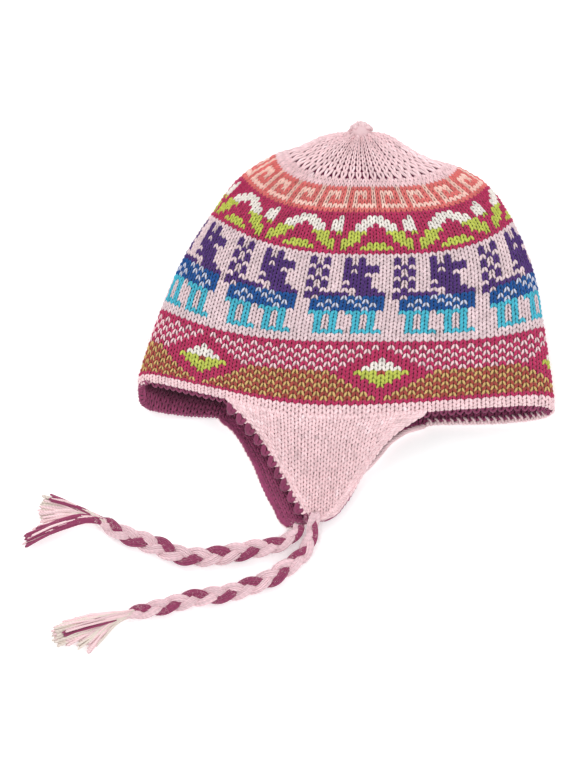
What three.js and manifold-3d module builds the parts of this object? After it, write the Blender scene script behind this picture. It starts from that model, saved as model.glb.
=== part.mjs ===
// A knitted chullo lying on its side: a lined hat body pressed into two layers, two lined
// ear flaps, a crown knot, and a braid with a tassel at the tip of each flap.
// X runs across the hat, Y from the rim to the crown, Z up from the surface it lies on.

import * as THREE from 'three';
import { mergeVertices } from 'three/addons/utils/BufferGeometryUtils.js';
import Module from 'manifold-3d';

const wasm = await Module();
wasm.setup();

// Driving sizes of the hat, in millimetres
const hatWidth = 249;
const hatLength = 182;
const hatThickness = 44;
const knitWall = 2.4;
const liningWall = 2;
const fitGap = 0.3;

// Crown gathers and knot
const gatherCount = 14;
const gatherDepth = 1.2;
const gatherStart = 0.8;
const knotRadius = 7;
const knotHeight = 7.6;
const knotSeatShare = 0.7;
const knotSides = 14;

// How far the rim is pulled towards the crown round its turn, as a share of hatLength: the upper
// layer rolls back at the left fold and the lower one is pulled out there. The pull fades out
// over the first rows.
const rimPullRows = 0.12;
const rimPulls = [
  { turn: 0, pull: 0.008 },
  { turn: 0.05, pull: 0.037 },
  { turn: 0.08, pull: 0.041 },
  { turn: 0.146, pull: 0.032 },
  { turn: 0.2, pull: 0.002 },
  { turn: 0.25, pull: 0 },
  { turn: 0.33, pull: 0.008 },
  { turn: 0.42, pull: 0.006 },
  { turn: 0.5, pull: -0.016 },
  { turn: 0.55, pull: -0.019 },
  { turn: 0.62, pull: -0.008 },
  { turn: 0.69, pull: 0.008 },
  { turn: 0.76, pull: 0 },
  { turn: 0.85, pull: -0.003 },
  { turn: 0.89, pull: -0.025 },
  { turn: 0.94, pull: -0.045 },
  { turn: 1, pull: 0.008 },
];

// Ear flaps
const flapWidth = 118;
const farFlapWidth = 124;
const nearFlapReach = 56;
const farFlapReach = 59;
const nearFlapCentre = -12;
const farFlapCentre = -14;
const nearTipShift = -4;
const farTipShift = -19;
const flapFallShare = 0.66;

// Braids and tassels
const braidDiameter = 10;
const braidSides = 10;
const braidSteps = 28;
const tasselHeadRadius = 6.4;
const tasselLength = 45;
const lockRootRadius = 3.2;
const lockTipRadius = 2.3;
const lockSides = 6;
const lockSteps = 4;

// Mesh fineness
const bodySteps = 48;
const bodyRows = 15;
const flapSteps = 14;
const flapRows = 8;

// How far each side of a layer runs towards the tip, as a share of the rows
const shellInnerEnd = 0.975;
const liningEnd = 14 / bodyRows;
const liningInnerEnd = 0.92;

// The body's sections from the rim (row 0) to the tip (row 1). mid is where the row's middle
// lies, and leftRise and rightRise how much further its ends lie, as shares of hatLength.
// left and right are its ends, as shares of half of hatWidth. top, edge and base are heights,
// as shares of hatThickness.
const bodySections = [
  { row: 0, mid: 0, left: -0.998, right: 1, leftRise: 0.109, rightRise: 0.047, top: 0.75, edge: 0.36, base: 0 },
  { row: 0.04, mid: 0.044, left: -0.998, right: 0.998, leftRise: 0.116, rightRise: 0.051, top: 0.77, edge: 0.37, base: 0 },
  { row: 0.243, mid: 0.255, left: -0.892, right: 0.949, leftRise: 0.136, rightRise: 0.095, top: 0.86, edge: 0.41, base: 0 },
  { row: 0.405, mid: 0.404, left: -0.781, right: 0.901, leftRise: 0.165, rightRise: 0.125, top: 0.95, edge: 0.43, base: 0 },
  { row: 0.554, mid: 0.544, left: -0.651, right: 0.805, leftRise: 0.168, rightRise: 0.147, top: 1, edge: 0.45, base: 0 },
  { row: 0.703, mid: 0.684, left: -0.506, right: 0.675, leftRise: 0.16, rightRise: 0.126, top: 1, edge: 0.45, base: 0 },
  { row: 0.784, mid: 0.775, left: -0.342, right: 0.52, leftRise: 0.143, rightRise: 0.099, top: 0.91, edge: 0.45, base: 0 },
  { row: 0.838, mid: 0.832, left: -0.222, right: 0.381, leftRise: 0.116, rightRise: 0.072, top: 0.82, edge: 0.43, base: 0.03 },
  { row: 0.892, mid: 0.885, left: -0.125, right: 0.27, leftRise: 0.095, rightRise: 0.062, top: 0.73, edge: 0.41, base: 0.08 },
  { row: 0.946, mid: 0.936, left: -0.053, right: 0.188, leftRise: 0.057, rightRise: 0.052, top: 0.61, edge: 0.38, base: 0.13 },
  { row: 1, mid: 0.98, left: 0.014, right: 0.135, leftRise: 0.018, rightRise: 0.018, top: 0.5, edge: 0.34, base: 0.18 },
];
const topFullness = 2.6;
const flatShare = 0.7;

// A flap's width down its length, as a share of its width at the rim
const flapOutline = [
  { down: 0, width: 1 },
  { down: 0.12, width: 0.86 },
  { down: 0.25, width: 0.71 },
  { down: 0.4, width: 0.56 },
  { down: 0.6, width: 0.41 },
  { down: 0.8, width: 0.27 },
  { down: 1, width: 0.13 },
];

// Tassel locks from the head: ahead is along -X and side along +Y, as shares of tasselLength.
// bow pushes the middle of the lock sideways, as a share of tasselLength too.
const farLocks = [
  { ahead: 0.61, side: 0.22, bow: 0.03 },
  { ahead: 0.7, side: 0.13, bow: 0.02 },
  { ahead: 0.72, side: 0.02, bow: 0 },
  { ahead: 0.7, side: -0.09, bow: -0.02 },
  { ahead: 0.57, side: -0.16, bow: -0.02 },
  { ahead: 0.79, side: -0.38, bow: 0.05 },
  { ahead: 0.97, side: -0.49, bow: 0.09 },
  { ahead: 0.83, side: -0.44, bow: 0.04 },
];
const nearLocks = [
  { ahead: 0.74, side: -0.14, bow: 0.03 },
  { ahead: 0.92, side: -0.21, bow: 0.03 },
  { ahead: 0.92, side: -0.32, bow: 0.02 },
  { ahead: 0.86, side: -0.4, bow: 0 },
  { ahead: 0.74, side: -0.28, bow: 0 },
  { ahead: 0.63, side: -0.36, bow: -0.02 },
  { ahead: 0.46, side: -0.47, bow: -0.05 },
  { ahead: 0.32, side: -0.41, bow: -0.06 },
];

const halfWidth = hatWidth / 2;
const linerDepth = knitWall + fitGap;
const doubleWall = linerDepth + liningWall;
const braidRadius = braidDiameter / 2;
const braidRest = braidRadius + 0.1;
const nearFlapRest = 2 * doubleWall + fitGap;
const nearTipMiddle = nearFlapRest - doubleWall / 2;

// The braids' routes, chosen by hand: X, Y and Z of the middle of the braid
const farBraidRoute = [
  [-33.5, -farFlapReach - fitGap, braidRest],
  [-33.5, -62.5, braidRest],
  [-36.5, -67, braidRest],
  [-42.5, -70.4, braidRest],
  [-54, -72.8, braidRest],
  [-69.6, -75.9, braidRest],
  [-81, -77.7, braidRest],
  [-91.2, -77.7, braidRest],
  [-101.4, -75.9, braidRest],
  [-113.4, -70.8, braidRest],
  [-124.2, -67.2, braidRest],
  [-136.8, -61.8, braidRest],
  [-144.8, -56.4, braidRest],
];
const nearBraidRoute = [
  [-16, -nearFlapReach - fitGap, nearTipMiddle],
  [-16, -59, nearTipMiddle],
  [-16.5, -64.2, braidRest + 0.7],
  [-18.4, -69.6, braidRest],
  [-22, -74.6, braidRest],
  [-26.6, -78.2, braidRest],
  [-33, -83, braidRest],
  [-43.8, -91.2, braidRest],
  [-56.4, -97.6, braidRest],
  [-75.3, -101.9, braidRest],
  [-94.2, -103.6, braidRest],
  [-110.4, -108, braidRest],
  [-121, -110.2, braidRest],
  [-128.6, -112.4, braidRest],
];

// The value of a table's column at a place, on a smooth curve through its rows
function alongTable(table, key, column, at) {
  const last = table.length - 2;
  let i = table.findIndex((entry) => entry[key] > at) - 1;
  if (i < 0) {
    i = at <= table[0][key] ? 0 : last;
  }
  const slope = (k) => {
    const before = table[Math.max(k - 1, 0)];
    const after = table[Math.min(k + 1, table.length - 1)];
    return (after[column] - before[column]) / (after[key] - before[key]);
  };
  const from = table[i];
  const to = table[i + 1];
  const span = to[key] - from[key];
  const t = Math.min(Math.max((at - from[key]) / span, 0), 1);
  const t2 = t * t;
  const t3 = t2 * t;
  return from[column] * (2 * t3 - 3 * t2 + 1) + to[column] * (3 * t2 - 2 * t3)
    + span * (slope(i) * (t3 - 2 * t2 + t) + slope(i + 1) * (t3 - t2));
}

function smoothStep(from, to, at) {
  const t = Math.min(Math.max((at - from) / (to - from), 0), 1);
  return t * t * (3 - 2 * t);
}

// The body's outer surface without gathers. turn goes once round each row: 0 is the left edge,
// 0.25 the middle of the upper layer, 0.5 the right edge and 0.75 the middle of the lower one.
function bodySurface(row, turn) {
  const section = (column) => alongTable(bodySections, 'row', column, row);
  const angle = 2 * Math.PI * turn;
  const across = -Math.cos(angle);
  const out = Math.abs(across);
  const upper = Math.sin(angle) >= 0;
  const left = section('left');
  const right = section('right');
  const x = halfWidth * ((left + right) / 2 + across * (right - left) / 2);
  const rise = across < 0 ? section('leftRise') : section('rightRise');
  const fade = Math.max(1 - row / rimPullRows, 0);
  const pull = alongTable(rimPulls, 'turn', 'pull', turn - Math.floor(turn)) * fade * fade;
  const y = hatLength * (section('mid') + rise * out * out + pull);
  const edge = section('edge');
  const base = Math.max(section('base'), 0);
  let height = 0;
  if (upper) {
    const full = Math.sqrt(Math.max(1 - out ** topFullness, 0));
    height = edge + (section('top') - edge) * full;
  } else {
    const bend = Math.max((out - flatShare) / (1 - flatShare), 0);
    height = base + (edge - base) * (1 - Math.sqrt(Math.max(1 - bend * bend, 0)));
  }
  return new THREE.Vector3(x, y, hatThickness * height);
}

// A point of the body at a depth below its outer surface
function bodyPoint(row, turn, depth) {
  const step = 0.004;
  const nextRow = Math.min(row + step, 1);
  const lastRow = Math.max(row - step, 0);
  const around = bodySurface(row, turn + step).sub(bodySurface(row, turn - step));
  const upwards = bodySurface(nextRow, turn).sub(bodySurface(lastRow, turn));
  const outward = around.cross(upwards).normalize();
  const gathered = smoothStep(gatherStart, 1, row) * gatherDepth;
  const ripple = gathered * Math.cos(2 * Math.PI * gatherCount * turn);
  const point = bodySurface(row, turn).addScaledVector(outward, ripple - depth);
  point.z = Math.max(point.z, 0);
  return point;
}

// A closed geometry from points and triangles, turned so that its faces point outwards
function closedGeometry(points, triangles) {
  const geometry = new THREE.BufferGeometry();
  geometry.setAttribute('position', new THREE.Float32BufferAttribute(points.flatMap((p) => [p.x, p.y, p.z]), 3));
  let volume = 0;
  for (const [a, b, c] of triangles) {
    volume += points[a].dot(points[b].clone().cross(points[c]));
  }
  const turned = volume > 0 ? triangles : triangles.map(([a, b, c]) => [a, c, b]);
  geometry.setIndex(turned.flat());
  geometry.computeVertexNormals();
  return geometry;
}

// A cup with a wall: rings of the outer and the inner side, joined at the rim, closed at the tip
function cupGeometry(outerRings, innerRings) {
  const around = outerRings[0].length;
  const points = [...outerRings.flat(), ...innerRings.flat()];
  const innerStart = outerRings.length * around;
  const triangles = [];
  const addWall = (start, rings, flip) => {
    for (let r = 0; r < rings - 1; r += 1) {
      for (let i = 0; i < around; i += 1) {
        const a = start + r * around + i;
        const b = start + r * around + (i + 1) % around;
        const quad = [[a, b, b + around], [a, b + around, a + around]];
        triangles.push(...(flip ? quad.map(([p, q, s]) => [p, s, q]) : quad));
      }
    }
  };
  const addTip = (start, ring, flip) => {
    const centre = ring.reduce((sum, p) => sum.add(p), new THREE.Vector3()).divideScalar(around);
    points.push(centre);
    const hub = points.length - 1;
    for (let i = 0; i < around; i += 1) {
      const a = start + i;
      const b = start + (i + 1) % around;
      triangles.push(flip ? [b, a, hub] : [a, b, hub]);
    }
  };
  addWall(0, outerRings.length, false);
  addWall(innerStart, innerRings.length, true);
  for (let i = 0; i < around; i += 1) {
    const a = i;
    const b = (i + 1) % around;
    triangles.push([a, innerStart + a, innerStart + b], [a, innerStart + b, b]);
  }
  addTip(innerStart - around, outerRings.at(-1), false);
  addTip(innerStart + (innerRings.length - 1) * around, innerRings.at(-1), true);
  return closedGeometry(points, triangles);
}

// Rings of the body at one depth, from the rim to a last row. Every layer has its rings on the
// same rows, so that the layers' faces lie parallel.
function bodyRings(depth, lastRow) {
  const rings = [];
  const wholeRows = Math.ceil(lastRow * bodyRows - 1e-9);
  for (let r = 0; r <= wholeRows; r += 1) {
    const row = Math.min(r / bodyRows, lastRow);
    const ring = [];
    for (let i = 0; i < bodySteps; i += 1) {
      ring.push(bodyPoint(row, i / bodySteps, depth));
    }
    rings.push(ring);
  }
  return rings;
}

function makeHatShell() {
  return cupGeometry(bodyRings(0, 1), bodyRings(knitWall, shellInnerEnd));
}

function makeLiningShell() {
  return cupGeometry(bodyRings(linerDepth, liningEnd), bodyRings(doubleWall, liningInnerEnd));
}

// Where the rim passes a flap, at a depth below the outer surface
function rimPoint(x, upper, depth) {
  const { left, right } = bodySections[0];
  const across = (x / halfWidth - (left + right) / 2) * 2 / (right - left);
  const turn = Math.acos(-Math.min(Math.max(across, -1), 1)) / (2 * Math.PI);
  return bodyPoint(0, upper ? turn : 1 - turn, depth);
}

// The upper flap's top side: it leaves the upper rim level, falls in a smooth step and lies flat
function nearFlapSurface(across, down) {
  const start = rimPoint(nearFlapCentre + across * flapWidth / 2, true, 0);
  const width = flapWidth * alongTable(flapOutline, 'down', 'width', down);
  const x = nearFlapCentre + nearTipShift * down + across * width / 2;
  const y = THREE.MathUtils.lerp(start.y - fitGap, -nearFlapReach, down);
  const fall = smoothStep(0, flapFallShare, down);
  return new THREE.Vector3(x, y, THREE.MathUtils.lerp(start.z, nearFlapRest, fall));
}

// The lower flap's underside, flat on the surface below the hat
function farFlapSurface(across, down) {
  const start = rimPoint(farFlapCentre + across * farFlapWidth / 2, false, 0);
  const width = farFlapWidth * alongTable(flapOutline, 'down', 'width', down);
  const x = farFlapCentre + farTipShift * down + across * width / 2;
  const y = THREE.MathUtils.lerp(start.y - fitGap, -farFlapReach, down);
  return new THREE.Vector3(x, y, THREE.MathUtils.lerp(start.z, 0, smoothStep(0, 0.3, down)));
}

// A sheet between two depths of a flap's surface. side is -1 where depth goes down, 1 where up.
function flapGeometry(surface, side, nearDepth, farDepth) {
  const step = 0.01;
  const pointAt = (across, down, depth) => {
    const a = surface(Math.min(across + step, 1), down).sub(surface(Math.max(across - step, -1), down));
    const d = surface(across, Math.min(down + step, 1)).sub(surface(across, Math.max(down - step, 0)));
    const upwards = d.cross(a).normalize();
    return surface(across, down).addScaledVector(upwards, side * depth);
  };
  const points = [];
  for (const depth of [nearDepth, farDepth]) {
    for (let r = 0; r <= flapRows; r += 1) {
      for (let i = 0; i <= flapSteps; i += 1) {
        points.push(pointAt(2 * i / flapSteps - 1, r / flapRows, depth));
      }
    }
  }
  const wide = flapSteps + 1;
  const layer = wide * (flapRows + 1);
  const triangles = [];
  const addQuad = (a, b, c, d) => triangles.push([a, b, c], [a, c, d]);
  for (let r = 0; r < flapRows; r += 1) {
    for (let i = 0; i < flapSteps; i += 1) {
      const a = r * wide + i;
      addQuad(a, a + 1, a + 1 + wide, a + wide);
      addQuad(a + layer, a + layer + wide, a + layer + wide + 1, a + layer + 1);
    }
  }
  const border = [];
  for (let i = 0; i < flapSteps; i += 1) border.push(i);
  for (let r = 0; r < flapRows; r += 1) border.push(r * wide + flapSteps);
  for (let i = flapSteps; i > 0; i -= 1) border.push(flapRows * wide + i);
  for (let r = flapRows; r > 0; r -= 1) border.push(r * wide);
  border.forEach((a, k) => {
    const b = border[(k + 1) % border.length];
    addQuad(b, a, a + layer, b + layer);
  });
  return closedGeometry(points, triangles);
}

// A rounded knot seated on the gathered tip of the crown
function makeTopKnot() {
  const tip = bodySections.at(-1);
  const seat = hatLength * (tip.mid + tip.leftRise) + fitGap;
  const profile = [new THREE.Vector2(0, 0)];
  const arcSteps = 7;
  const firstAngle = -Math.acos(knotSeatShare);
  for (let i = 0; i <= arcSteps; i += 1) {
    const angle = THREE.MathUtils.lerp(firstAngle, Math.PI / 2, i / arcSteps);
    const rise = (Math.sin(angle) - Math.sin(firstAngle)) / (1 - Math.sin(firstAngle));
    profile.push(new THREE.Vector2(i === arcSteps ? 0 : knotRadius * Math.cos(angle), knotHeight * rise));
  }
  const knot = new THREE.LatheGeometry(profile, knotSides);
  const x = halfWidth * (tip.left + tip.right) / 2;
  knot.translate(x, seat, hatThickness * tip.edge);
  return knot;
}

// A tube whose rings shrink along a curve, closed at both ends
function taperedTube(curve, sides, steps, radiusAt) {
  const frames = curve.computeFrenetFrames(steps, false);
  const points = [];
  const triangles = [];
  for (let s = 0; s <= steps; s += 1) {
    const middle = curve.getPointAt(s / steps);
    for (let i = 0; i < sides; i += 1) {
      const angle = 2 * Math.PI * i / sides;
      const radius = radiusAt(s / steps);
      points.push(middle.clone()
        .addScaledVector(frames.normals[s], radius * Math.cos(angle))
        .addScaledVector(frames.binormals[s], radius * Math.sin(angle)));
    }
  }
  for (let s = 0; s < steps; s += 1) {
    for (let i = 0; i < sides; i += 1) {
      const a = s * sides + i;
      const b = s * sides + (i + 1) % sides;
      triangles.push([a, b, b + sides], [a, b + sides, a + sides]);
    }
  }
  points.push(curve.getPointAt(0), curve.getPointAt(1));
  const firstHub = points.length - 2;
  const lastHub = points.length - 1;
  for (let i = 0; i < sides; i += 1) {
    const next = (i + 1) % sides;
    triangles.push([next, i, firstHub], [steps * sides + i, steps * sides + next, lastHub]);
  }
  return closedGeometry(points, triangles);
}

// A braid's outer form: a round section carried along its route
function makeBraid(route) {
  const curve = new THREE.CatmullRomCurve3(route.map((p) => new THREE.Vector3(...p)));
  const section = new THREE.Shape();
  for (let i = 0; i < braidSides; i += 1) {
    const angle = 2 * Math.PI * i / braidSides;
    const corner = [braidRadius * Math.cos(angle), braidRadius * Math.sin(angle)];
    if (i === 0) {
      section.moveTo(...corner);
    } else {
      section.lineTo(...corner);
    }
  }
  section.closePath();
  return new THREE.ExtrudeGeometry(section, { steps: braidSteps, extrudePath: curve });
}

function toManifold(geometry) {
  const bare = geometry.clone();
  bare.deleteAttribute('normal');
  bare.deleteAttribute('uv');
  const merged = mergeVertices(bare, 1e-4);
  return new wasm.Manifold(new wasm.Mesh({
    numProp: 3,
    vertProperties: new Float32Array(merged.attributes.position.array),
    triVerts: new Uint32Array(merged.index.array),
  }));
}

function fromManifold(manifold) {
  const mesh = manifold.getMesh();
  const geometry = new THREE.BufferGeometry();
  geometry.setAttribute('position', new THREE.Float32BufferAttribute(mesh.vertProperties, 3));
  geometry.setIndex(new THREE.Uint32BufferAttribute(mesh.triVerts, 1));
  geometry.computeVertexNormals();
  return geometry;
}

// A tassel: a round end knot with yarn locks fused to it, lying on the surface below
function makeTassel(route, locks) {
  const end = new THREE.Vector3(...route.at(-1));
  const ahead = end.clone().sub(new THREE.Vector3(...route.at(-2))).setZ(0).normalize();
  const middle = end.clone().addScaledVector(ahead, tasselHeadRadius + fitGap).setZ(tasselHeadRadius);
  const head = new THREE.SphereGeometry(tasselHeadRadius, 12, 8).rotateX(Math.PI / 2);
  head.translate(middle.x, middle.y, middle.z);
  let tassel = toManifold(head);
  for (const lock of locks) {
    const reach = new THREE.Vector3(-lock.ahead, lock.side, 0).multiplyScalar(tasselLength);
    const sideways = new THREE.Vector3(0, lock.bow * tasselLength, 0);
    const tip = middle.clone().add(reach).setZ(lockTipRadius);
    const bend = middle.clone().addScaledVector(reach, 0.5).add(sideways).setZ(tasselHeadRadius * 0.9);
    const curve = new THREE.QuadraticBezierCurve3(middle, bend, tip);
    const radiusAt = (t) => THREE.MathUtils.lerp(lockRootRadius, lockTipRadius, t);
    tassel = tassel.add(toManifold(taperedTube(curve, lockSides, lockSteps, radiusAt)));
  }
  return fromManifold(tassel);
}

// Yarn colours
const yarns = {
  pink: new THREE.Color(0.9, 0.68, 0.7),
  magenta: new THREE.Color(0.62, 0.12, 0.3),
  burgundy: new THREE.Color(0.3, 0.07, 0.14),
};

function addPiece(group, name, geometry, yarn) {
  const material = new THREE.MeshStandardMaterial({ color: yarns[yarn], roughness: 0.95, metalness: 0 });
  const piece = new THREE.Mesh(geometry, material);
  piece.name = name;
  group.add(piece);
}

const hat = new THREE.Group();
addPiece(hat, 'hat_shell', makeHatShell(), 'magenta');
addPiece(hat, 'lining_shell', makeLiningShell(), 'burgundy');
addPiece(hat, 'top_knot', makeTopKnot(), 'pink');
addPiece(hat, 'flap_near', flapGeometry(nearFlapSurface, -1, 0, knitWall), 'pink');
addPiece(hat, 'flap_near_lining', flapGeometry(nearFlapSurface, -1, linerDepth, doubleWall), 'burgundy');
addPiece(hat, 'flap_far', flapGeometry(farFlapSurface, 1, 0, knitWall), 'pink');
addPiece(hat, 'flap_far_lining', flapGeometry(farFlapSurface, 1, linerDepth, doubleWall), 'burgundy');

// The origin is below the middle of the hat without its braids
const hatBox = new THREE.Box3().setFromObject(hat);
const hatMiddle = hatBox.getCenter(new THREE.Vector3());

addPiece(hat, 'braid_near', makeBraid(nearBraidRoute), 'pink');
addPiece(hat, 'braid_far', makeBraid(farBraidRoute), 'pink');
addPiece(hat, 'tassel_near', makeTassel(nearBraidRoute, nearLocks), 'pink');
addPiece(hat, 'tassel_far', makeTassel(farBraidRoute, farLocks), 'pink');
hat.position.set(-hatMiddle.x, -hatMiddle.y, 0);

export default hat;
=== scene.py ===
import bpy
import math
import numpy as np
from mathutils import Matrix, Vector


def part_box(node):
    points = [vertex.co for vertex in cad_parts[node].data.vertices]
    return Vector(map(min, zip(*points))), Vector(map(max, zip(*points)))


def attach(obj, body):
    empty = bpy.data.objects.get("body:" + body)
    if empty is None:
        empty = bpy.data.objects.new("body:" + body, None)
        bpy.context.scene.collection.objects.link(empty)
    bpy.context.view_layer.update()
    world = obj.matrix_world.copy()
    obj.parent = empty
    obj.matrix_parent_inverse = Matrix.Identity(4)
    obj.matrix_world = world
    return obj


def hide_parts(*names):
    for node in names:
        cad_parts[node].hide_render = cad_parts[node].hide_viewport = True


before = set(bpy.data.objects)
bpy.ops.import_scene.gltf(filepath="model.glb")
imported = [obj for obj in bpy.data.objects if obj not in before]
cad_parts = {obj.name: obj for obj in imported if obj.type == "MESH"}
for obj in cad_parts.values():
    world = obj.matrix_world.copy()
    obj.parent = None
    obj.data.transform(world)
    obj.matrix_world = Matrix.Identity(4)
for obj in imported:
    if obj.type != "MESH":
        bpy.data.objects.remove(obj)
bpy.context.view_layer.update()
scene = bpy.context.scene
dice = np.random.default_rng(7)
print("frame loaded")


# View and light
view = dict(
    centre=(-0.0349, -0.036, 0.0),   # what the middle of the picture shows, on the floor
    tilt=math.radians(14),           # leaned from straight above towards the rim
    distance=3.0,
    tall=0.4608,                     # how much of the floor the picture's long side shows
    sensor=36.0,
)


def makeCamera():
    data = bpy.data.cameras.new("view")
    data.sensor_width = view["sensor"]
    data.lens = view["sensor"] * view["distance"] / view["tall"]
    data.clip_end = 20
    camera = bpy.data.objects.new("view", data)
    scene.collection.objects.link(camera)
    back = Vector((0, -math.sin(view["tilt"]), math.cos(view["tilt"])))
    camera.location = Vector(view["centre"]) + back * view["distance"]
    camera.rotation_euler = (view["tilt"], 0, 0)
    scene.camera = camera


light = dict(
    sky=(1.0, 1.0, 1.0), skyStrength=0.9,
    key=dict(place=(-0.7, 0.9, 1.8), size=1.3, power=11),
    fill=dict(place=(1.0, -0.7, 1.7), size=1.6, power=5),
)


def makeLight():
    world = bpy.data.worlds.new("softRoom")
    world.use_nodes = True
    background = world.node_tree.nodes["Background"]
    background.inputs["Color"].default_value = (*light["sky"], 1)
    background.inputs["Strength"].default_value = light["skyStrength"]
    scene.world = world
    for name in ("key", "fill"):
        lamp = light[name]
        data = bpy.data.lights.new(name, "AREA")
        data.shape = "DISK"
        data.size = lamp["size"]
        data.energy = lamp["power"]
        thing = bpy.data.objects.new(name, data)
        scene.collection.objects.link(thing)
        thing.location = lamp["place"]
        thing.rotation_euler = (-Vector(lamp["place"])).to_track_quat("-Z", "Y").to_euler()
    scene.view_settings.view_transform = "Standard"


makeCamera()
makeLight()
print("camera and lights ready")


# Yarn colours, as red, green and blue from 0 to 255
yarnColours = dict(
    pink=(247, 213, 217), magenta=(184, 42, 92), coral=(224, 116, 113), peach=(250, 208, 196),
    white=(240, 233, 226), lime=(194, 203, 86), purple=(78, 42, 116), blue=(6, 78, 148),
    cyan=(70, 184, 206), tan=(214, 180, 116), brick=(164, 68, 60), burgundy=(154, 66, 106),
    plum=(152, 62, 100), cream=(232, 218, 208), ice=(208, 212, 232), mist=(230, 207, 211),
    rose=(238, 204, 211),
)


def linear(name):
    value = np.array(yarnColours[name]) / 255
    return np.where(value < 0.04045, value / 12.92, ((value + 0.055) / 1.055) ** 2.4)


# Knitted-in figures, drawn top row first. A letter is a yarn.
chartYarns = dict(
    w="white", l="lime", p="purple", b="blue", c="cyan", i="ice", k="peach", o="coral",
)
llamaChart = [
    "............",
    "p.p..p.p....",
    "p.p..p.p....",
    ".p...ppppp..",
    "p.p..p.ppp..",
    "p.p..ppp....",
    ".p...pppp...",
    "p.p...ppp...",
    "p.p..pppp...",
    ".p.....ppp..",
    "pppppp.pppp.",
    "p.bbbibibbb.",
    ".bbibbibibb.",
    ".bibibbibib.",
    ".bbibbbbibb.",
    ".cccc.cccc..",
    "..c.c..c.c..",
    "..c.c..c.c..",
    "..c.c..c.c..",
    "..c.c..c.c..",
    "..cccc.cccc.",
    "............",
    "............",
]
zigzagChart = [
    "....www....w",
    "...wwwww..ww",
    "..www.www.ww",
    "..ww...ww.ww",
    ".lll...lll.l",
    ".ll.....ll..",
    "lll.....lll.",
    "ll..lll..ll.",
    "l..lllll..l.",
]
keyChart = [
    "kooooo",
    "kokkko",
    "kokoko",
    "kokooo",
    "kokkkk",
    "oooooo",
]


# The knit's bands up the body, in rows of stitches from the rim
knit = dict(
    # stitches round a row, how many lie in front, how many more do near the crown and between
    # which shares of the length they come in, and how much the right of the front is stretched
    around=120, front=57, frontMore=4, moreFrom=0.6, moreTo=0.76, stretch=0.127,
    tableTurns=961, tableOver=100,   # places round a row in the table of stitches, and past its end
    rows=74, rimRows=3, diamondRows=15, llamaRows=23, zigzagRows=11, keyRows=6,
    plainRows=2,                     # before the crown's decreases
    diamondRepeat=24, diamondMiddle=10, diamondEdge=6, diamondInside=3,
    llamaStart=11, zigzagStart=3, keyStart=2,
    turnedOut=(109, 114, 118),       # first stitches of the lowest rows where the lining shows
    aloneStep=0.2, aloneSlim=0.7,    # a stitch paler than both beside it is squeezed thin
    # how a row of stitches runs: it curves up to the folds as the given powers, and lies lower
    # than its place on the surface, as a share of the length
    sag=dict(
        row=(0, 0.04, 0.243, 0.554, 0.784, 1),
        leftPower=(2, 2, 2.8, 2.7, 3.6, 2), rightPower=(2, 2, 3.3, 3.6, 4, 2),
        drop=(0, 0, 0.002, 0.005, -0.002, 0), rightDrop=(0, 0, 0.016, 0, 0, 0),
    ),
)
diamondStart = knit["rimRows"]
llamaRow = diamondStart + knit["diamondRows"]
zigzagRow = llamaRow + knit["llamaRows"]
keyRow = zigzagRow + knit["zigzagRows"]
plainRow = keyRow + knit["keyRows"]
crownRow = plainRow + knit["plainRows"]


# The crown's stitches: how many go round, their heights in rows and where their legs lie; how
# thick the yarn is, how much less in the middle of the front, over which share of it and how much
# more so in the first row, and how much thicker it is again in the last rows
crown = dict(
    around=50, heights=(1.9, 1.7, 1.5, 1.4, 1.3, 1.3, 1.2, 1.2, 1.2, 1.3), aside=(0.5, 0.42, 0.24, 0.18, 0.13),
    full=1.04, holes=0.2, holesReach=0.55, holesFirst=1.5, closing=0.12, closingRows=(6, 10),
)


# The yarn of each stitch: whole bands of rows and columns are filled at once
def bodyYarns():
    number = list(yarnColours).index
    picked = np.full((knit["rows"], knit["around"]), number("pink"))
    column = np.arange(knit["around"])[None, :]

    def lay(rowFrom, lines, start, ground):
        letters = np.array([list(line) for line in lines])
        width = letters.shape[1]
        figure = letters[::-1][:, (column[0] - start) % width]
        block = np.full(figure.shape, number(ground))
        for letter, yarn in chartYarns.items():
            block[figure == letter] = number(yarn)
        picked[rowFrom:rowFrom + len(lines)] = block

    # diamonds: distance from a diamond's middle row and column, added, picks the ring
    tall = knit["diamondRows"]
    line = np.arange(tall)[:, None]                       # from the bottom of the band
    fromMiddle = np.abs(line - tall // 2)
    half = knit["diamondRepeat"] // 2
    aside = np.abs((column - knit["diamondMiddle"] + half) % knit["diamondRepeat"] - half)
    reach = fromMiddle + aside
    upper = line > tall // 2
    band = np.empty(reach.shape, int)

    def fill(where, above, below):
        yarns = np.broadcast_to(np.where(upper, number(above), number(below)), band.shape)
        band[where] = yarns[where]

    fill(reach >= 0, "magenta", "brick")
    fill((reach % 2 == 1) & (line > 0) & (line < tall - 1), "pink", "tan")
    fill(reach <= knit["diamondEdge"], "magenta", "magenta")
    fill(reach <= knit["diamondInside"], "white", "lime")
    fill(reach == 0, "brick", "brick")
    band[[0, -1]] = number("magenta")
    picked[diamondStart:llamaRow] = band
    for row, first in enumerate(knit["turnedOut"]):
        picked[row, first:] = number("burgundy")

    lay(llamaRow, llamaChart, knit["llamaStart"], "mist")
    picked[zigzagRow:keyRow] = number("magenta")
    lay(zigzagRow + 1, zigzagChart, knit["zigzagStart"], "magenta")
    lay(keyRow, keyChart, knit["keyStart"], "coral")
    return picked


paint = np.array([linear(name) for name in yarnColours])


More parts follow.
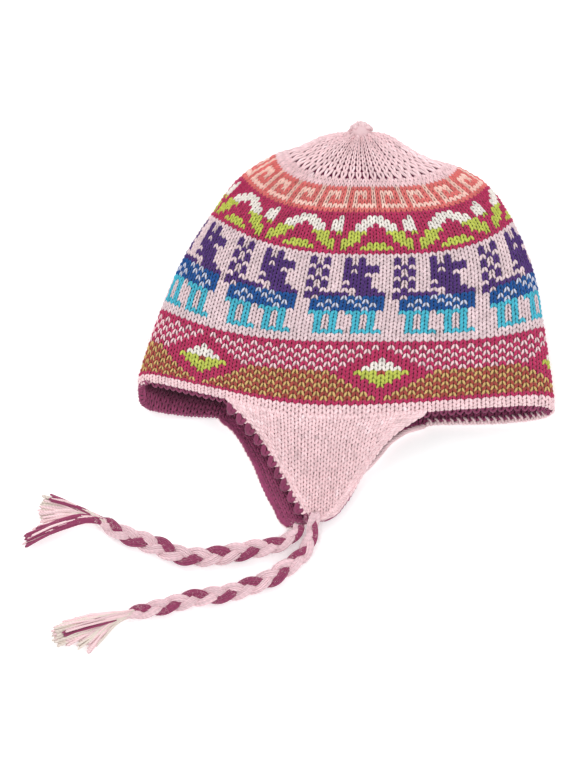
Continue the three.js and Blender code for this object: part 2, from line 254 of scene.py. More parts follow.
# The hat's body, with the sections of its solid: see bodySurface
shellLow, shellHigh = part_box("hat_shell")
body = dict(
    width=0.249, length=0.182, thickness=0.044, wall=0.0024, lining=0.002, gap=0.0003,
    topFullness=2.6, flatShare=0.7, rimPullRows=0.12,
    rimPulls=dict(
        turn=(0, 0.05, 0.08, 0.146, 0.2, 0.25, 0.33, 0.42, 0.5, 0.55, 0.62, 0.69, 0.76, 0.85, 0.89, 0.94, 0.97,
              0.99, 1),
        pull=(0.002, 0.034, 0.041, 0.032, 0.002, 0, 0.015, 0.013, -0.014, -0.019, -0.008, 0.008, 0, -0.003,
              -0.028, -0.054, -0.056, -0.038, 0.002),
    ),
    gathers=14, gatherDepth=0.0012, gatherStart=0.8,
    sections=dict(
        row=(0, 0.04, 0.243, 0.405, 0.554, 0.703, 0.784, 0.838, 0.892, 0.946, 1),
        mid=(0, 0.044, 0.255, 0.404, 0.544, 0.684, 0.775, 0.832, 0.885, 0.936, 0.98),
        left=(-0.998, -0.998, -0.892, -0.781, -0.651, -0.506, -0.342, -0.222, -0.125, -0.053, 0.014),
        right=(1, 0.998, 0.949, 0.901, 0.805, 0.688, 0.545, 0.412, 0.3, 0.205, 0.135),
        leftRise=(0.109, 0.116, 0.136, 0.165, 0.168, 0.16, 0.143, 0.116, 0.095, 0.057, 0.018),
        rightRise=(0.047, 0.051, 0.095, 0.125, 0.147, 0.126, 0.099, 0.072, 0.062, 0.052, 0.018),
        top=(0.75, 0.77, 0.86, 0.95, 1, 1, 0.91, 0.82, 0.73, 0.61, 0.5),
        edge=(0.36, 0.37, 0.41, 0.43, 0.45, 0.45, 0.45, 0.43, 0.41, 0.38, 0.34),
        base=(0, 0, 0, 0, 0, 0, 0, 0.03, 0.08, 0.13, 0.18),
        # how evenly a row's stitches are spread: 1 by arc length, 0 by turn
        even=(0.9, 0.9, 0.8, 0.75, 0.65, 0.8, 0.95, 0.95, 0.9, 0.8, 0.7),
    ),
)
linerDepth = body["wall"] + body["gap"]
doubleWall = linerDepth + body["lining"]
bodyOrigin = np.array([shellHigh.x - body["width"] / 2, shellLow.y, 0])


# A column of a table at many places: a smooth cubic through its entries, with the slope at an
# entry taken between its two neighbours
def alongTable(table, column, at, key="row"):
    keys = np.array(table[key], float)
    values = np.array(table[column], float)
    last = len(keys) - 1
    place = np.arange(last + 1)
    before, after = np.maximum(place - 1, 0), np.minimum(place + 1, last)
    slope = (values[after] - values[before]) / (keys[after] - keys[before])
    i = np.clip(np.searchsorted(keys, at, side="right") - 1, 0, last - 1)
    span = keys[i + 1] - keys[i]
    t = np.clip((at - keys[i]) / span, 0, 1)
    return (values[i] * (2 * t**3 - 3 * t**2 + 1) + values[i + 1] * (3 * t**2 - 2 * t**3)
            + span * (slope[i] * (t**3 - 2 * t**2 + t) + slope[i + 1] * (t**3 - t**2)))


def smoothStep(low, high, at):
    t = np.clip((at - low) / (high - low), 0, 1)
    return t * t * (3 - 2 * t)


# The body's outer surface. row runs from 0 at the rim to 1 at the crown, and turn once round:
# 0 is the left fold, 0.25 the middle of the upper layer, 0.5 the right fold. A row runs across
# as the cosine of the turn and rises with its square; the upper layer is a flattened arch, the
# lower one lies flat up to the folds and curves up there as a quarter ellipse. The rim is pulled
# up and down by its own table, which fades out as a square.
def bodySurface(row, turn):
    row, turn = np.broadcast_arrays(row, turn)
    table = {name: alongTable(body["sections"], name, row) for name in body["sections"] if name != "row"}
    angle = 2 * np.pi * turn
    across = -np.cos(angle)
    out = np.abs(across)
    upper = np.sin(angle) >= 0
    left, right = table["left"], table["right"]
    x = body["width"] / 2 * ((left + right) / 2 + across * (right - left) / 2)
    rise = np.where(across < 0, table["leftRise"], table["rightRise"])
    y = body["length"] * (table["mid"] + rise * out**2)
    base = np.maximum(table["base"], 0)
    arch = table["edge"] + (table["top"] - table["edge"]) * np.sqrt(np.maximum(1 - out**body["topFullness"], 0))
    bend = np.maximum((out - body["flatShare"]) / (1 - body["flatShare"]), 0)
    tray = base + (table["edge"] - base) * (1 - np.sqrt(np.maximum(1 - bend**2, 0)))
    fade = np.maximum(1 - row / body["rimPullRows"], 0)
    y = y + body["length"] * alongTable(body["rimPulls"], "pull", turn - np.floor(turn), key="turn") * fade**2
    z = body["thickness"] * np.where(upper, arch, tray)
    return np.stack([x, y, z], axis=-1) + bodyOrigin


def unit(vectors):
    return vectors / np.maximum(np.linalg.norm(vectors, axis=-1, keepdims=True), 1e-12)


# The body's surface and its outward normal, with the crown's gathers as a cosine round the row
def bodyFrame(row, turn):
    step = 0.004
    around = bodySurface(row, turn + step) - bodySurface(row, turn - step)
    upwards = bodySurface(np.minimum(row + step, 1), turn) - bodySurface(np.maximum(row - step, 0), turn)
    outward = unit(np.cross(around, upwards))
    ripple = smoothStep(body["gatherStart"], 1, row) * body["gatherDepth"]
    ripple = ripple * np.cos(2 * np.pi * body["gathers"] * turn)
    return bodySurface(row, turn) + outward * ripple[..., None], outward


# Where each stitch of a row lies: a table from stitch number to turn, worked out from the arc
# length along the row on the lower rows and from the turn itself near the crown. The right of
# the front is stretched a little, and more stitches lie in front near the crown.
def stitchTurns():
    lines = np.linspace(0, 1, knit["rows"] + 1)
    turns = np.linspace(0, 1, knit["tableTurns"])
    halves = np.arange(2 * knit["around"] + 1) / 2
    over = knit["tableOver"]
    points = bodySurface(lines[:, None], turns[None, :])
    steps = np.linalg.norm(np.diff(points, axis=1), axis=2)
    even = alongTable(body["sections"], "even", lines)
    fronts = knit["front"] + knit["frontMore"] * smoothStep(knit["moreFrom"], knit["moreTo"], lines)
    found = []
    middle = len(turns) // 2
    for line in range(len(lines)):
        front, back = fronts[line], knit["around"] - fronts[line]
        start = (knit["front"] - front) / 2
        number = []
        for part, first, count, stretch in (
            (slice(0, middle), start, front, knit["stretch"]), (slice(middle, None), start + front, back, 0),
        ):
            length = np.concatenate([[0], np.cumsum(steps[line][part])])
            share = length / length[-1]
            place = even[line] * share + (1 - even[line]) * np.linspace(0, 1, len(share))
            number.append(first + count * (place + stretch * place * (1 - place)))
        number = np.concatenate([number[0], number[1][1:]])
        number = np.concatenate([number, number[1:over] + knit["around"]])
        found.append(np.interp(halves, number, np.append(turns, turns[1:over] + 1)))
    return np.array(found)


turnTable = stitchTurns()


# The ear flaps, on the surfaces of their solids. The outline gives a flap's width from the rim to
# the tip, and left and right are shares of it at its two edges. tip shifts the tip sideways, and
# the flap comes down from the rim to the height rest over the share fall of its reach.
flaps = dict(
    outline=dict(row=(0, 0.12, 0.25, 0.4, 0.6, 0.8, 1), width=(1, 0.86, 0.71, 0.56, 0.41, 0.27, 0.13)),
    near=dict(
        width=0.118, centre=-0.012, tip=-0.004, reach=0.056, rest=0.0097, fall=0.66, sign=1,
        right=dict(row=(0, 0.08, 0.18, 0.3, 0.4, 0.6, 0.8, 1),
                   share=(1, 0.965, 0.925, 0.905, 0.915, 0.92, 0.97, 1)),
        left=dict(row=(0, 1), share=(1, 1)),
    ),
    far=dict(
        width=0.124, centre=-0.014, tip=-0.019, reach=0.059, rest=0.0, fall=0.66, sign=-1,
        right=dict(row=(0, 0.04, 0.085, 0.17, 0.3, 0.42, 1), share=(1, 0.9, 0.87, 0.87, 0.96, 1.03, 1)),
        left=dict(row=(0, 0.08, 0.2, 0.35, 0.7, 0.85, 1), share=(1, 0.955, 0.955, 0.99, 0.98, 0.86, 0.78)),
    ),
    gap=0.0003, rows=24, pitch=0.0042, converge=0.2, full=1.06, rimFade=(-0.001, 0.003), widest=1.15,
    tipRound=0.9, tipLess=0.85,      # where the tip's rounding starts, and how much it takes off
    # the sheets behind a flap's stitches are painted darker than their yarns, as the shade between the stitches
    sheetRows=24, sheetColumns=25, sheetWide=0.97, sheetPaintedShade=0.52, liningPaintedShade=0.5, backDepth=0.0016,
    backGap=0.0004, liningLift=0.0002,   # between the two sheets of a flap
    # in stitches from the edge: where the upright columns end, and the two columns along it; then
    # the first and the last of the slanted columns and their step
    uprightInset=1.25, edgeInsets=(0.35, 1.1), firstInset=0.4, lastInset=0.9, edgeStep=0.95,
)


# Where a flap goes on from the rim, from 0 to 1, by half stitches
def rimAttached():
    turn = turnTable[0]
    across = bodySurface(0 * turn, turn)[:, 0] - bodyOrigin[0]
    share = []
    for name in ("near", "far"):
        flap = flaps[name]
        share.append(smoothStep(*flaps["rimFade"], flap["width"] / 2 - np.abs(across - flap["centre"])))
    middle = np.arange(len(turn)) <= 2 * knit["front"]
    return np.where(middle, share[0], share[1])


attached = rimAttached()


# A point of the knit by stitch number, row number and depth, and the normal there. The lowest
# rows run round the rim's edge, as half a circle as thick as both walls, from the outside or the
# inside, but not where a flap goes on.
def bodyPlace(number, row, depth, inside=False):
    number, row, depth = np.broadcast_arrays(number, row, depth)
    wraps = np.floor(number / knit["around"])
    column = (number - wraps * knit["around"]) * 2
    c = np.floor(column).astype(int)
    c2 = np.minimum(c + 1, turnTable.shape[1] - 1)
    lip = doubleWall / 2
    free = 1 - attached[c] * (1 - column + c) - attached[c2] * (column - c)
    start = free * lip / body["length"] * knit["rows"]
    line = np.clip(row, start, knit["rows"] - 1e-6)
    r = np.floor(line).astype(int)
    fc, fr = column - c, line - r
    turn = ((turnTable[r, c] * (1 - fc) + turnTable[r, c2] * fc) * (1 - fr)
            + (turnTable[r + 1, c] * (1 - fc) + turnTable[r + 1, c2] * fc) * fr)
    share = line / knit["rows"]
    across = -np.cos(2 * np.pi * turn)
    out = np.abs(across)
    table = {name: alongTable(knit["sag"], name, share) for name in knit["sag"] if name != "row"}
    rise = alongTable(body["sections"], "leftRise", share)
    otherRise = alongTable(body["sections"], "rightRise", share)
    sag = np.where(across < 0, rise * (out**2 - out**table["leftPower"]),
                   otherRise * (out**2 - out**table["rightPower"]) + table["rightDrop"] * out**2)
    share = np.clip(share - sag - table["drop"], 0, 1)
    point, outward = bodyFrame(share, turn)
    if inside:
        facing, level = -outward, doubleWall - depth
    else:
        facing, level = outward, depth
    angle = np.clip((line - row) * body["length"] / knit["rows"] / lip, 0, np.pi)[..., None]
    ahead = unit(bodySurface(0 * turn, turn) - bodySurface(0 * turn + 0.01, turn))
    normal = facing * np.cos(angle) + ahead * np.sin(angle)
    wrapped = point - outward * lip + normal * (lip - depth)[..., None]
    return np.where(angle > 0, wrapped, point - outward * level[..., None]), normal


# A piece from a form's arrays: points, quads, triangles and, for yarn, a UV pair for each corner.
# The colour is one for each point, or one for all.
def makePiece(name, form, material, colour):
    points = np.asarray(form["points"], np.float32)
    quads = np.asarray(form["quads"], np.int32).reshape(-1, 4)
    triangles = np.asarray(form["triangles"], np.int32).reshape(-1, 3)
    corners = np.concatenate([quads.ravel(), triangles.ravel()])
    starts = np.concatenate([np.arange(len(quads)) * 4, len(quads) * 4 + np.arange(len(triangles)) * 3])
    mesh = bpy.data.meshes.new(name)
    mesh.vertices.add(len(points))
    mesh.vertices.foreach_set("co", points.ravel())
    mesh.loops.add(len(corners))
    mesh.loops.foreach_set("vertex_index", corners.astype(np.int32))
    mesh.polygons.add(len(starts))
    mesh.polygons.foreach_set("loop_start", starts.astype(np.int32))
    mesh.polygons.foreach_set("use_smooth", np.ones(len(starts), bool))
    if "uv" in form:
        layer = mesh.uv_layers.new(name="yarnUv")
        layer.data.foreach_set("uv", form["uv"].astype(np.float32).ravel())
    colour = np.broadcast_to(np.clip(colour, 0, 1), points.shape)
    rgba = np.concatenate([colour, np.ones((len(points), 1))], axis=1)
    layer = mesh.color_attributes.new("yarnColour", "FLOAT_COLOR", "POINT")
    layer.data.foreach_set("color", rgba.astype(np.float32).ravel())
    mesh.update()
    mesh.materials.append(material)
    piece = bpy.data.objects.new(name, mesh)
    scene.collection.objects.link(piece)
    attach(piece, "root")
    print(name, len(quads) * 2 + len(triangles), "triangles")
    return piece


# Many tubes at once: rings of an ellipse round each line, in the frame of its direction and the
# given up vectors, drawn together to a point at both ends. UV is the place along the line and
# round it.
def makeTubes(lines, ups, widths, heights, sides):
    count, steps = lines.shape[:2]
    along = unit(np.gradient(lines, axis=1))
    side = unit(np.cross(along, ups))
    up = np.cross(side, along)
    angle = np.pi / 2 + 2 * np.pi * np.arange(sides) / sides
    inner = (slice(None), slice(1, -1), None)
    rings = (lines[inner] + side[inner] * (widths[inner] * np.cos(angle))[..., None]
             + up[inner] * (heights[inner] * np.sin(angle))[..., None])
    points = np.concatenate([rings.reshape(count, -1, 3), lines[:, :1], lines[:, -1:]], axis=1)
    each = points.shape[1]
    ring, j = np.meshgrid(np.arange(steps - 3), np.arange(sides), indexing="ij")
    ring, j = ring[..., None] + [0, 1, 1, 0], j[..., None] + [0, 0, 1, 1]
    quads = (ring * sides + j % sides).reshape(-1, 4)
    quadUv = np.stack([ring + 1, j], -1).reshape(-1, 2)
    j = np.arange(sides)
    k, tip = (j + 1) % sides, (steps - 2) * sides
    last = tip - sides
    tips = np.concatenate([
        np.stack([0 * j + tip, j, k], -1), np.stack([0 * j + tip + 1, last + k, last + j], -1),
    ])
    j = j[:, None]
    tipUv = np.concatenate([
        np.stack([0 * j + [0, 1, 1], j + [0, 0, 1]], -1),
        np.stack([0 * j + [steps - 1, steps - 2, steps - 2], j + [0, 1, 0]], -1),
    ]).reshape(-1, 2)
    scale = np.array([1 / (steps - 1), 1 / sides])
    shift = (np.arange(count) * each)[:, None, None]
    return dict(
        points=points.reshape(-1, 3), each=each,
        quads=(quads + shift).reshape(-1, 4), triangles=(tips + shift).reshape(-1, 3),
        uv=np.concatenate([np.tile(part * scale, (count, 1)) for part in (quadUv, tipUv)]),
        steps=np.concatenate([np.repeat(np.arange(1, steps - 1), sides), [0, steps - 1]]),
    )


# Round yarns as one piece, with a colour for each
def makeYarns(name, lines, ups, radii, sides, colours, material):
    lines = np.array(lines)
    radii = np.broadcast_to(radii, lines.shape[:2])
    tubes = makeTubes(lines, np.broadcast_to(ups, lines.shape), radii, radii, sides)
    return makePiece(name, tubes, material, np.repeat(colours, tubes["each"], axis=0))


# A yarn's colour, made uneven for each of a number of yarns
def unevenColours(yarn, spread, count):
    return linear(yarn) * (1 + spread * dice.standard_normal((count, 1)))


# One knitted stitch seen as an upturned V: two legs that lie apart at the foot and meet at the
# head. Offsets are in stitch widths and row heights, dips in metres below the yarn's crest.
stitch = dict(
    along=(-0.80, -0.52, 0.0, 0.50, 0.76),
    aside=(0.38, 0.365, 0.25, 0.14, 0.10),
    dip=(0.00135, 0.0004, 0.0, 0.0004, 0.0012),
    thick=(0, 0.9, 1.0, 0.8, 0),
    legShare=0.22, legHeight=0.0008, sides=5,
    # tone varies each leg's colour at random; the legs' ends, where the yarn dives under, are painted darker as
    # shade
    unevenness=0.055, lean=0.018, dipSpread=0.00012, tone=0.07, endPaintedShade=0.6,
)


# Legs of all the stitches given by their column and row numbers. place gives the point and the
# normal for a stitch number, a row number and a depth.
def knitStitches(name, place, columns, rows, colours, wide=1.0, tall=1.0, size=1.0,
                 slants=0.0, slim=1.0, aside=stitch["aside"]):
    count = len(columns)
    tall, slim, slants = (np.broadcast_to(value, (count,))[:, None, None] for value in (tall, slim, slants))
    along, thick = np.array(stitch["along"]), np.array(stitch["thick"])
    wobble = 1 + stitch["unevenness"] * dice.standard_normal((count, 1, 1))
    lean = stitch["lean"] * dice.standard_normal((count, 1, 1))
    q = columns[:, None, None] + (np.array([[-1], [1]]) * aside * wide + lean) * wobble
    q = q + slants * along
    r = rows[:, None, None] + along * tall + 0 * q
    dips = np.array(stitch["dip"]) * size + stitch["legHeight"] * size
    dips = dips + stitch["dipSpread"] * dice.standard_normal((count, 2, 1))
    points, normals = place(q, r, dips)
    left, right = (place(columns + way * wide / 2, rows, np.zeros(count))[0] for way in (-1, 1))
    width = np.linalg.norm(right - left, axis=-1)[:, None, None]
    widths = stitch["legShare"] * width * thick * wobble * slim + np.zeros((count, 2, 1))
    heights = stitch["legHeight"] * size * thick + np.zeros_like(widths)
    steps = len(along)
    tubes = makeTubes(points.reshape(-1, steps, 3), normals.reshape(-1, steps, 3),
                      widths.reshape(-1, steps), heights.reshape(-1, steps), stitch["sides"])
    tone = 1 + stitch["tone"] * dice.standard_normal((count, 2, 1, 1))
    # painted shade: the legs' ends, where the yarn dives under the next stitch, are darkened
    ends = (tubes["steps"] == 0) | (tubes["steps"] == steps - 1)
    shade = np.where(ends, stitch["endPaintedShade"], 1.0)[:, None]
    colour = np.broadcast_to(colours, (count, 3))[:, None, None] * tone * shade
    return makePiece(name, tubes, knitYarn, colour.reshape(-1, 3))


# Row and column numbers of a block of stitches
def grid(rows, columns):
    row, column = np.meshgrid(rows, columns, indexing="ij")
    return row.ravel(), column.ravel()


# The looks of wool, and of the yarns by their plies and turns along a tube
wool = {"Roughness": 0.9, "Sheen Weight": 0.2, "Sheen Roughness": 0.6, "Specular IOR Level": 0.15}
flatWool = {"Roughness": 1.0, "Specular IOR Level": 0.0}
twist = dict(
    knitYarn=dict(Plies=3.0, Turns=3.0, Fibre=1400.0, bump=0.35),
    braidYarn=dict(Plies=2.0, Turns=60.0, Fibre=1200.0, bump=0.45),
    # lightest and darkest: the colour painted lighter on the plies' crests and darker in their grooves, as
    # painted light and shade
    plyShare=0.6, lightest=1.14, darkest=0.80, bumpDepth=0.0004,
)


def setNode(node, values):
    for name, value in values.items():
        if name in node.inputs:
            node.inputs[name].default_value = value
        else:
            setattr(node, name, value)
    return node


def addNode(tree, kind, **values):
    return setNode(tree.nodes.new(kind), values)


def joinNodes(tree, *links):
    for source, target in links:
        tree.links.new(source, target)


# Yarn: plies that wind round the tube as a slanted wave over the UV, and fine fibre noise in the object's own
# space. Shade makes the colour lighter on the plies' crests and darker in their grooves, painted light and
# shade, with the noise as random fibre tone
def makeYarnTwist():
    group = bpy.data.node_groups.new("yarnTwist", "ShaderNodeTree")
    for name, way in (("Plies", "INPUT"), ("Turns", "INPUT"), ("Fibre", "INPUT"),
                      ("Height", "OUTPUT"), ("Shade", "OUTPUT")):
        group.interface.new_socket(name, in_out=way, socket_type="NodeSocketFloat")
    source = addNode(group, "NodeGroupInput")
    result = addNode(group, "NodeGroupOutput")
    uv = addNode(group, "ShaderNodeUVMap", uv_map="yarnUv")
    parts = addNode(group, "ShaderNodeSeparateXYZ")
    place = addNode(group, "ShaderNodeTexCoord")
    noise = addNode(group, "ShaderNodeTexNoise", Detail=4.0, Roughness=0.7)

    def calc(operation, *values):
        node = addNode(group, "ShaderNodeMath", operation=operation)
        for slot, value in enumerate(values):
            if isinstance(value, (int, float)):
                node.inputs[slot].default_value = value
            else:
                group.links.new(value, node.inputs[slot])
        return node.outputs[0]

    turned = calc("MULTIPLY", parts.outputs[0], source.outputs["Turns"])
    wound = calc("MULTIPLY", parts.outputs[1], source.outputs["Plies"])
    wave = calc("SINE", calc("MULTIPLY", calc("ADD", turned, wound), 2 * math.pi))
    ply = calc("MULTIPLY", calc("ADD", wave, 1.0), 0.5)
    height = calc("ADD", calc("MULTIPLY", ply, twist["plyShare"]),
                  calc("MULTIPLY", noise.outputs[0], 1 - twist["plyShare"]))
    # painted light and shade: lighter on the plies' crests, darker in their grooves, mixed with random fibre
    # tone
    shade = calc("ADD", calc("MULTIPLY", height, twist["lightest"] - twist["darkest"]), twist["darkest"])
    joinNodes(group, (uv.outputs["UV"], parts.inputs[0]), (place.outputs["Object"], noise.inputs["Vector"]),
              (source.outputs["Fibre"], noise.inputs["Scale"]), (height, result.inputs["Height"]),
              (shade, result.inputs["Shade"]))
    return group


# A wool in the colour of the piece's own attribute: a yarn where it has plies, else flat. A yarn's colour is
# multiplied by its twist's Shade, painted light on the plies' crests and painted shade in their grooves
def makeWool(name, looks, group=None, bump=0.0, **plies):
    material = bpy.data.materials.new(name)
    material.use_nodes = True
    tree = material.node_tree
    shader = setNode(tree.nodes["Principled BSDF"], looks)
    colour = addNode(tree, "ShaderNodeAttribute", attribute_name="yarnColour").outputs["Color"]
    if group:
        wound = addNode(tree, "ShaderNodeGroup", node_tree=group, **plies)
        mix = addNode(tree, "ShaderNodeMix", data_type="RGBA", blend_type="MULTIPLY", Factor=1.0)
        relief = addNode(tree, "ShaderNodeBump", Strength=bump, Distance=twist["bumpDepth"])
        joinNodes(tree, (colour, mix.inputs[6]), (wound.outputs["Shade"], mix.inputs[7]),
                  (wound.outputs["Height"], relief.inputs["Height"]),
                  (relief.outputs["Normal"], shader.inputs["Normal"]))
        colour = mix.outputs[2]
    joinNodes(tree, (colour, shader.inputs["Base Color"]))
    return material


yarnTwist = makeYarnTwist()
knitYarn, braidYarn = (makeWool(name, wool, yarnTwist, **twist[name]) for name in ("knitYarn", "braidYarn"))
flatYarn = makeWool("flatYarn", flatWool)
print("materials ready")


# The braids: a route, with the heights of its first points, and what makes its strands. A strand
# is a bundle of yarns round a few inner ones. Tapers give how much narrower the braid gets at its
# start, end and last bit, and over what share of it.
braids = dict(
    far=dict(
        route=((-27.6, -57.6), (-28.6, -61.4), (-33.6, -66.6), (-42, -70.4), (-54, -72.8), (-69.6, -75.9),
               (-81, -77.7), (-91.2, -77.7), (-101.4, -75.9), (-113.4, -70.8), (-124.2, -67.2),
               (-136.8, -61.8), (-147.4, -54.8)),
        heights=(5.1,), start=0.22, length=0.1315, size=1.04,
    ),
    near=dict(
        route=((-19.2, -52.2), (-19.4, -57), (-20.4, -63.4), (-22.4, -70.4), (-27, -77.4), (-34.3, -83.2),
               (-43.8, -89.9), (-56, -95.2), (-72.2, -100.2), (-91, -103), (-105.6, -107), (-120, -110.5),
               (-131.4, -113.2)),
        heights=(12.6, 9.5, 6.6, 5.4, 5.1), start=-0.02, length=0.1405, size=0.95,
    ),
    diameter=0.010, strands=("rose", "plum", "rose"), turn=0.034, swing=0.0031, rise=0.0016,
    tapers=dict(start=(0.4, 0.3), end=(0.25, 0.25), last=(0.6, 0.05)),
    yarns=15, innerYarns=3, innerSize=0.4, innerTurn=2.1, yarnTurn=0.03, bundle=(0.0022, 0.0014),
    yarnRadius=0.00062, radiusSpread=0.08, wander=0.12, wanderTurn=0.011, tone=0.06, steps=96, sides=5,
)
upwards = np.array([0, 0, 1.0])
aboveFloor = 0.0001


def keepAboveFloor(lines, low):
    lines[..., 2] = np.maximum(lines[..., 2], low)


# Lines with equal steps along the first of them, and its length
def evenSteps(steps, *lines):
    length = np.concatenate([[0], np.cumsum(np.linalg.norm(np.diff(lines[0], axis=0), axis=1))])
    even = np.linspace(0, length[-1], steps)
    found = [np.stack([np.interp(even, length, line[:, k]) for k in range(3)], -1) for line in lines]
    return *found, length[-1]


def blend(first, second, low, high, at):
    return first * (high - at) / (high - low) + second * (at - low) / (high - low)


# A smooth line through a braid's route: a Catmull-Rom spline with knots by the square roots of
# its spans, as blends of blends
def braidRoute(braid):
    spare = len(braid["route"]) - len(braid["heights"])
    heights = braid["heights"] + braid["heights"][-1:] * spare
    points = np.array([(*point, height) for point, height in zip(braid["route"], heights)]) / 1000
    ends = np.concatenate([[2 * points[0] - points[1]], points, [2 * points[-1] - points[-2]]])
    found = []
    for i in range(1, len(ends) - 2):
        spans = [ends[i + n:i + n + 2] for n in (-1, 0, 1)]
        k = np.cumsum([0] + [max(np.linalg.norm(q - p)**0.5, 1e-6) for p, q in spans])
        t = np.linspace(k[1], k[2], 12, endpoint=i == len(ends) - 3)[:, None]
        ab, bc, cd = (blend(p, q, k[n], k[n + 1], t) for n, (p, q) in enumerate(spans))
        found.append(blend(blend(ab, bc, k[0], k[2], t), blend(bc, cd, k[1], k[3], t), k[1], k[2], t))
    line, length = evenSteps(braids["steps"], np.concatenate(found))
    return line + bodyOrigin, length


# A strand swings across the braid as a sine and over and under as a sine of twice the angle, a
# third of a turn from the next. Its yarns run side by side in an ellipse.
def makeBraid(side):
    braid = braids[side]
    line, length = braidRoute(braid)
    across = unit(np.cross(unit(np.gradient(line, axis=0)), upwards))
    share = np.linspace(0, 1, len(line))
    pinch = braid["size"]
    for name, place in (("start", share), ("end", 1 - share), ("last", 1 - share)):
        less, over = braids["tapers"][name]
        pinch = pinch * (1 - less + less * smoothStep(0, over, place))
    wide, high = braids["bundle"]
    inner = braids["innerYarns"]
    lines, ups, colours, radii = [], [], [], []
    for strand, yarn in enumerate(braids["strands"]):
        angle = 2 * np.pi * (share * length / braids["turn"] + braid["start"] + strand / 3)
        middle = (line + across * (braids["swing"] * pinch * np.sin(angle))[:, None]
                  + upwards * (braids["rise"] * pinch * np.sin(2 * angle))[:, None])
        direction = unit(np.gradient(middle, axis=0))
        beside = unit(np.cross(direction, upwards))
        above = np.cross(beside, direction)
        for k in range(braids["yarns"]):
            outer = k >= inner
            turn = 2 * np.pi * (k - inner) / (braids["yarns"] - inner) if outer else braids["innerTurn"] * k
            turn = turn + share * length / braids["yarnTurn"]
            phase = share * length / braids["wanderTurn"] + dice.uniform(0, 6.3)
            size = (1.0 if outer else braids["innerSize"]) * pinch * (1 + braids["wander"] * np.sin(phase))
            offset = beside * (wide * np.cos(turn))[:, None] + above * (high * np.sin(turn))[:, None]
            path = middle + offset * size[:, None]
            keepAboveFloor(path, braids["yarnRadius"] + aboveFloor)
            lines.append(path)
            ups.append(above)
            radii.append([braids["yarnRadius"] * (1 + braids["radiusSpread"] * dice.standard_normal())])
            colours.append(linear(yarn) * (1 + braids["tone"] * dice.standard_normal()))
    piece = makeYarns("braid_yarns_" + side, lines, ups, radii, braids["sides"], colours, braidYarn)
    return piece, line, length


# The tassels: locks of yarns that leave the braid's end and fan out on the floor. A lock gives
# its tip ahead and aside as shares of the tassel's length, its bow, its main yarn and its share
# of the yarns. A yarn strays from its lock at its root, neck, middle and tip.
tassels = dict(
    length=0.0425, headGap=0.0062, headHeight=0.0064, tipHeight=0.0023, bowHeight=0.00576,
    darkLift=0.0029, yarns=22, radius=0.00072, steps=12, blunt=0.985, sides=5,
    rootSpread=0.0009, rootShares=(0.3, 1, 0.8), neckSpread=0.0007,
    scatter=0.0017, scatterShares=(0.4, 1, 0.6), scatterMost=1.7, middleScatter=0.6, raggedness=0.028,
    bend=0.001, bendShares=(0.2, 1, 0.5), wave=0.0003, waveShares=(0.3, 1, 0.6), waveTurns=(6, 16),
    mainShare=0.8, tone=0.07,
    locks=dict(
        far=dict(
            ahead=(0.56, 0.64, 0.68, 0.69, 0.68, 0.64, 0.74, 0.83, 0.88, 0.89),
            side=(0.25, 0.2, 0.13, 0.05, -0.04, -0.11, -0.22, -0.28, -0.35, -0.42),
            bow=(0.03, 0.03, 0.02, 0.01, 0, -0.01, 0.0, 0.02, 0.03, 0.03),
            yarn=("plum", "cream", "cream", "pink", "cream", "pink", "plum", "pink", "plum", "plum"),
            share=(0.4, 1.2, 1.2, 1, 1, 1, 0.7, 1, 1.5, 1.2),
        ),
        near=dict(
            ahead=(0.56, 0.7, 0.83, 0.85, 0.81, 0.7, 0.66, 0.5, 0.37, 0.26),
            side=(-0.06, -0.1, -0.17, -0.25, -0.33, -0.24, -0.34, -0.36, -0.42, -0.34),
            bow=(0.05, 0.05, 0.03, 0.01, 0, 0.01, -0.02, -0.04, -0.05, -0.06),
            yarn=("pink", "pink", "cream", "cream", "cream", "plum", "pink", "cream", "pink", "cream"),
            share=(1, 1.2, 1.2, 1, 1, 0.8, 1, 1, 1, 0.8),
        ),
    ),
)


